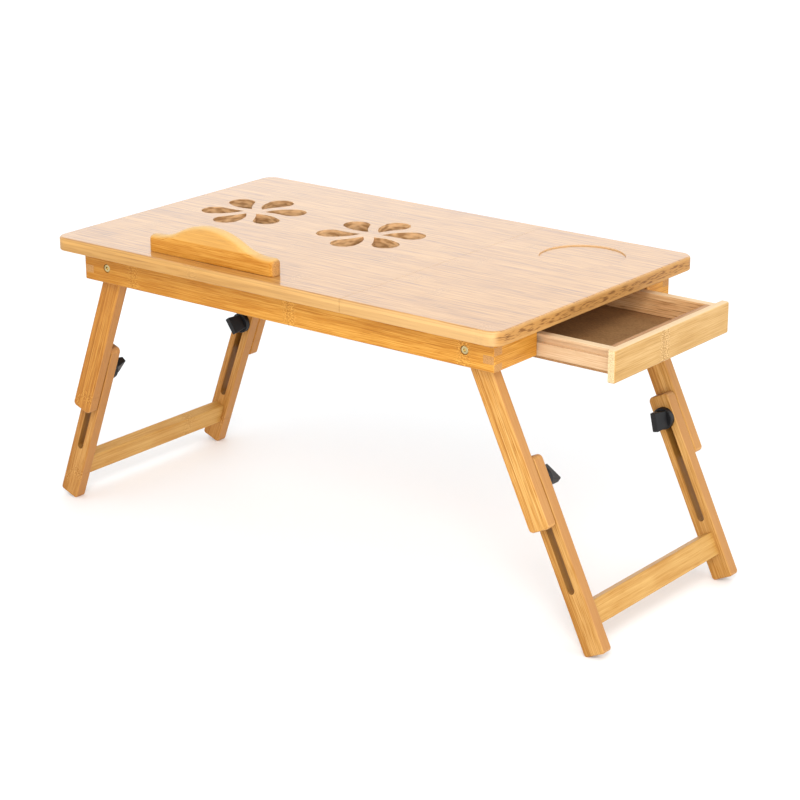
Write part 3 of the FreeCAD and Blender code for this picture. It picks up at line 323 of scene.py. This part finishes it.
def turned_wood(name, light, dark):
    """Plain dowel wood with fine grain along the pin."""
    finish, shader, start = new_finish(name, 0.55)
    place = start.node("TexCoord", {}, {}, "Object")
    fine = start.node("TexNoise", {}, {"Vector": place, "Scale": 900.0, "Detail": 3.0})
    colour = start.node("ValToRGB", {"stops": ((0.35, shade(*dark)), (0.65, shade(*light)))},
                        {"Fac": fine})
    feed(shader, "Base Color", colour)
    feed(shader, "Normal", start.node("Bump", {}, {"Strength": 0.2, "Distance": 0.0001,
                                                   "Height": fine}))
    return finish


dress(turned_wood("beech dowels", (206, 172, 124), (178, 140, 94)),
      "stopper_dowels", "left_stretcher_dowels", "right_stretcher_dowels")

# ---- Panel hinges -------------------------------------------------------------------------
# Two small brass-plated butt hinges let into the front apron and the underside of the tilting
# panel, each with a steel pin and countersunk screws.


def metal(name, tone, roughness, scratch=1.0):
    """Plated metal: faint cloudiness, fine scratches and small dents in the plating."""
    finish, shader, start = new_finish(name, roughness)
    shader.inputs["Metallic"].default_value = 1.0
    place = start.node("TexCoord", {}, {}, "Object")
    cloud = start.node("TexNoise", {}, {"Vector": place, "Scale": 160.0, "Detail": 3.0})
    fine = start.node("TexNoise", {}, {"Vector": place, "Scale": 2400.0, "Detail": 2.0})
    colour = start.node("ValToRGB", {"stops": ((0.3, shade(*(0.82 * part for part in tone))),
                                               (0.7, shade(*tone)))}, {"Fac": cloud})
    feed(shader, "Base Color", colour)
    feed(shader, "Roughness", roughness + (cloud - 0.5) * 0.2 + (fine - 0.5) * 0.12 * scratch)
    feed(shader, "Normal", start.node("Bump", {}, {"Strength": 0.15 * scratch,
                                                   "Distance": 0.00005, "Height": fine}))
    return finish


brass = metal("brass plating", (214, 178, 108), 0.3)
zinc = metal("bright zinc", (206, 206, 208), 0.26)
dress(brass, "hinge_fixed_leaves", "hinge_moving_leaves", "hinge_fixed_screws",
      "hinge_moving_screws")
dress(zinc, "hinge_pins")

# ---- Tilting prop and racks ---------------------------------------------------------------
# A closed loop of drawn wire hangs from two saddle clips under the tilting panel. Its foot
# catches in the notches of two small bamboo racks, which stand on bars across the frame.

dress(metal("drawn wire", (186, 186, 188), 0.34, 1.6), "prop_loop")
dress(zinc, "prop_clips", "prop_clip_screws")
dress(bamboo("rack bamboo", BACKWARDS, UPWARDS), "tilt_rack_left", "tilt_rack_right")
dress(bamboo("bar bamboo", SIDEWAYS, UPWARDS), "rack_bar_front", "rack_bar_back")

# ---- Drawer rails and stop ----------------------------------------------------------------
# Bent steel channels screwed up into the fixed panel carry the drawer by the grooves in its
# sides. A bamboo block under the panel keeps the drawer from being pulled right out.

dress(zinc, "drawer_rail_front", "drawer_rail_back", "drawer_rail_screws")
dress(bamboo("stop block bamboo", BACKWARDS, SIDEWAYS), "drawer_stop")

# ---- Drawer -------------------------------------------------------------------------------
# A shallow box of paler bamboo boards with a thin bottom sheet nailed under it. A wider face
# board, screwed on from inside, has no handle and is pulled by its lower edge.


def sawn_edges(start, colour, run, width, depth, front, cut):
    """The sawn upper edge of a board is paler than its faces."""
    rising = start.node("TexCoord", {}, {}, "Normal").along(UPWARDS).fade(0.5, 0.9)
    return colour.mixed(shade(226, 196, 156), rising * 0.8)


dress(bamboo("drawer face bamboo", BACKWARDS, UPWARDS, strip=60, tone=(180, 138, 78),
             light=(208, 170, 116), dark=(150, 110, 60), end=(222, 196, 152),
             knuckle_pitch=160, knuckle_shift=0.78, knuckles=1.6, streaks=0.7, soft=0.3,
             roughness=0.5, ply=sawn_edges), "drawer_face")
dress(bamboo("drawer side bamboo", SIDEWAYS, UPWARDS, strip=60, tone=(190, 152, 112),
             light=(216, 186, 150), dark=(160, 120, 82), end=(216, 182, 142), streaks=0.7,
             soft=0.3, roughness=0.5, ply=sawn_edges), "drawer_side_front")
dress(bamboo("drawer back board bamboo", SIDEWAYS, UPWARDS, strip=60, tone=(212, 160, 106),
             light=(232, 192, 142), dark=(146, 96, 54), end=(206, 168, 124), streaks=1.5,
             roughness=0.5, ply=sawn_edges), "drawer_side_back")
dress(bamboo("drawer end bamboo", BACKWARDS, UPWARDS, strip=60, tone=(168, 118, 72),
             light=(196, 148, 100), dark=(124, 80, 44), end=(206, 168, 124), streaks=1.3,
             roughness=0.5), "drawer_box_front", "drawer_rear")


def thin_board(name, light, dark):
    """Unlacquered thin board: fine wood flecks and a soft cloudiness."""
    finish, shader, start = new_finish(name, 0.62, gloss=0.25)
    place = start.node("TexCoord", {}, {}, "Object")
    long = start.node("Mapping", {}, {"Vector": place, "Scale": (420.0, 1500.0, 1500.0)})
    flecks = start.node("TexNoise", {}, {"Vector": long, "Scale": 1.0, "Detail": 3.0})
    cloud = start.node("TexNoise", {}, {"Vector": place, "Scale": 40.0, "Detail": 2.0})
    colour = start.node("ValToRGB", {"stops": ((0.32, shade(*dark)), (0.66, shade(*light)))},
                        {"Fac": flecks * 0.75 + cloud * 0.25})
    feed(shader, "Base Color", colour)
    feed(shader, "Roughness", 0.58 + flecks * 0.12)
    feed(shader, "Normal", start.node("Bump", {}, {"Strength": 0.2, "Distance": 0.0001,
                                                   "Height": flecks}))
    return finish


dress(thin_board("drawer bottom board", (172, 130, 84), (128, 90, 54)), "drawer_bottom")
dress(zinc, "drawer_face_screws", "drawer_bottom_nails")

# ---- Leg frames ---------------------------------------------------------------------------
# Each leg is two flat bamboo bars of three strips side by side: the upper one turns on the
# apron's bolt, and the slotted lower one slides along it. A rounded stretcher joins the lower
# legs near the floor.

LEG_WOOD_AND_SHADE = {    # main and light tone, with painted shade making the left and the lower bars darker, and the knuckle's shift along the bar in knuckle pitches
    "left_upper": ((168, 106, 36), (204, 146, 66), 0.98),
    "left_lower": ((164, 108, 44), (198, 148, 82), 0.66),
    "right_upper": ((182, 126, 56), (216, 170, 100), 0.80),
    "right_lower": ((168, 116, 50), (204, 158, 94), 0.47)}
STRETCHER_KNUCKLE = {"left": 0.52, "right": 0.10}   # the same shift for the two stretchers
LEG_PITCH = 290     # spacing of the knuckles along the legs and stretchers, in mm
SLOT_SHADE_REACH = 5       # reach of the painted shade on a slot's walls from the middle of its leg, in mm
SLOT_SHADE_FADE = 2


def pale_sides(start, colour, run, width, depth, front, cut):
    """A bar's outer sides are paler and pinker than its face; its slot's walls carry painted
    shade.
    """
    pale = colour.mixed(shade(196, 144, 92), 0.4)
    slot_shade = colour.mixed(shade(126, 84, 26), 0.65)
    outer = abs(width).fade(SLOT_SHADE_REACH, SLOT_SHADE_REACH + SLOT_SHADE_FADE)
    return colour.mixed(slot_shade.mixed(pale, outer), 1 - abs(front).fade(0.5, 0.9))


for side in ("left", "right"):
    pivot = Vector(joints[side + "_fold"]["pos_m"])
    slide = Vector(joints[side + "_height"]["axis"])
    down = -slide
    across = BACKWARDS.cross(slide)
    for part in ("upper", "lower"):
        tone, light, shift = LEG_WOOD_AND_SHADE[f"{side}_{part}"]
        finish = bamboo(f"{side} {part} leg bamboo", down, across, pivot, strip=7.15,
                        tone=tone, light=light, strips=0.25, glue=0.6, streaks=1.0,
                        knuckle_pitch=LEG_PITCH, knuckle_shift=shift, scatter=0.03,
                        knuckles=0.9, ply=pale_sides)
        dress(finish, f"{side}_front_{part}_leg", f"{side}_back_{part}_leg")
    low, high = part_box(side + "_stretcher")
    dress(bamboo(f"{side} stretcher bamboo", BACKWARDS, down, (low + high) / 2, strip=30,
                 tone=(176, 124, 54), light=(208, 166, 98), streaks=0.55,
                 knuckle_pitch=LEG_PITCH, knuckle_shift=STRETCHER_KNUCKLE[side]),
          side + "_stretcher")

# ---- Clamp knobs --------------------------------------------------------------------------
# Black moulded wing knobs, slightly grainy, each on a zinc-plated stud that passes through
# the slot of the lower leg into the brass insert of the upper one.


def moulded(name, tone):
    """Black moulded plastic with a fine spark-eroded grain."""
    finish, shader, start = new_finish(name, 0.42, gloss=0.3)
    place = start.node("TexCoord", {}, {}, "Object")
    grit = start.node("TexNoise", {}, {"Vector": place, "Scale": 3200.0, "Detail": 2.0})
    wear = start.node("TexNoise", {}, {"Vector": place, "Scale": 240.0, "Detail": 2.0})
    colour = start.node("ValToRGB", {"stops": ((0.3, shade(*tone)),
                                               (0.8, shade(*(1.5 * part for part in tone))))},
                        {"Fac": wear})
    feed(shader, "Base Color", colour)
    feed(shader, "Roughness", 0.36 + grit * 0.16)
    feed(shader, "Normal", start.node("Bump", {}, {"Strength": 0.25, "Distance": 0.00006,
                                                   "Height": grit}))
    return finish


black = moulded("black plastic", (13, 12, 13))
for side in ("left", "right"):
    dress(brass, side + "_clamp_inserts")
    for end in ("front", "back"):
        dress(black, f"{side}_{end}_knob")
        dress(zinc, f"{side}_{end}_knob_stud")

# ---- Pivot bolts --------------------------------------------------------------------------
# Yellow button-head bolts with hex sockets, sunk in the aprons, on which the legs turn. Each
# has a washer and a nut on the inner side of its leg.

dress(metal("yellow zinc", (206, 184, 132), 0.26), "pivot_bolts")
dress(zinc, "pivot_nuts", "pivot_washers")

# ---- Floor, light and camera --------------------------------------------------------------
# A plain white floor and an even white surround that is brightest towards the horizon, as in
# a light tent, with two soft lamps.


def lay_floor(size):
    """A square white floor at the feet, with a faint cloudiness."""
    mesh = bpy.data.meshes.new("floor")
    mesh.from_pydata([(-size, -size, 0), (size, -size, 0), (size, size, 0), (-size, size, 0)],
                     [], [(0, 1, 2, 3)])
    floor = bpy.data.objects.new("floor", mesh)
    bpy.context.collection.objects.link(floor)
    finish, shader, start = new_finish("white floor", 0.6, gloss=0.2)
    place = start.node("TexCoord", {}, {}, "Object")
    soft = start.node("TexNoise", {}, {"Vector": place, "Scale": 3.0})
    whites = ((0.0, (0.93, 0.93, 0.93, 1)), (1.0, (0.95, 0.95, 0.95, 1)))
    feed(shader, "Base Color", start.node("ValToRGB", {"stops": whites}, {"Fac": soft}))
    mesh.materials.append(finish)


def light_surround():
    """White light from all round that grows weaker towards the zenith."""
    world = bpy.data.worlds.new("light tent")
    bpy.context.scene.world = world
    world.use_nodes = True
    tree = world.node_tree
    start = Grain(tree)
    height = start.node("TexCoord", {}, {}, "Generated").along(UPWARDS)
    bright = 1.6 - height.fade(0.25, 0.85) * 0.7
    tree.links.new(bright.socket, tree.nodes["Background"].inputs["Strength"])
    tree.nodes["Background"].inputs["Color"].default_value = (0.97, 1.0, 1.02, 1)


def hang_lamp(name, spot, aim, size, power):
    lamp = bpy.data.lights.new(name, "AREA")
    lamp.shape = "DISK"
    lamp.size = size
    lamp.energy = power
    holder = bpy.data.objects.new(name, lamp)
    bpy.context.collection.objects.link(holder)
    holder.location = spot
    holder.rotation_euler = (Vector(aim) - Vector(spot)).to_track_quat("-Z", "Y").to_euler()


lay_floor(6.0)
light_surround()
hang_lamp("key lamp", (1.2, -1.7, 1.7), (0.1, 0, 0.2), 0.9, 22)
hang_lamp("side lamp", (2.0, 0.2, 0.9), (0.1, 0, 0.2), 0.8, 4)
hang_lamp("near lamp", (0.75, -0.8, 0.4), (0.25, -0.15, 0.2), 0.5, 2)

CAMERA_PLACE = (1.25939, -1.57254, 0.81958)
CAMERA_TURN, CAMERA_DIP, CAMERA_ROLL = 0.667336, 0.328435, -0.004390    # in radians

lens = bpy.data.cameras.new("camera")
lens.lens = 104.589
lens.clip_start = 0.05
camera = bpy.data.objects.new("camera", lens)
bpy.context.collection.objects.link(camera)
camera.matrix_world = (Matrix.Translation(CAMERA_PLACE) @ Matrix.Rotation(CAMERA_TURN, 4, "Z")
                       @ Matrix.Rotation(math.pi / 2 - CAMERA_DIP, 4, "X")
                       @ Matrix.Rotation(CAMERA_ROLL, 4, "Z"))
bpy.context.scene.camera = camera
bpy.context.scene.view_settings.view_transform = "Standard"
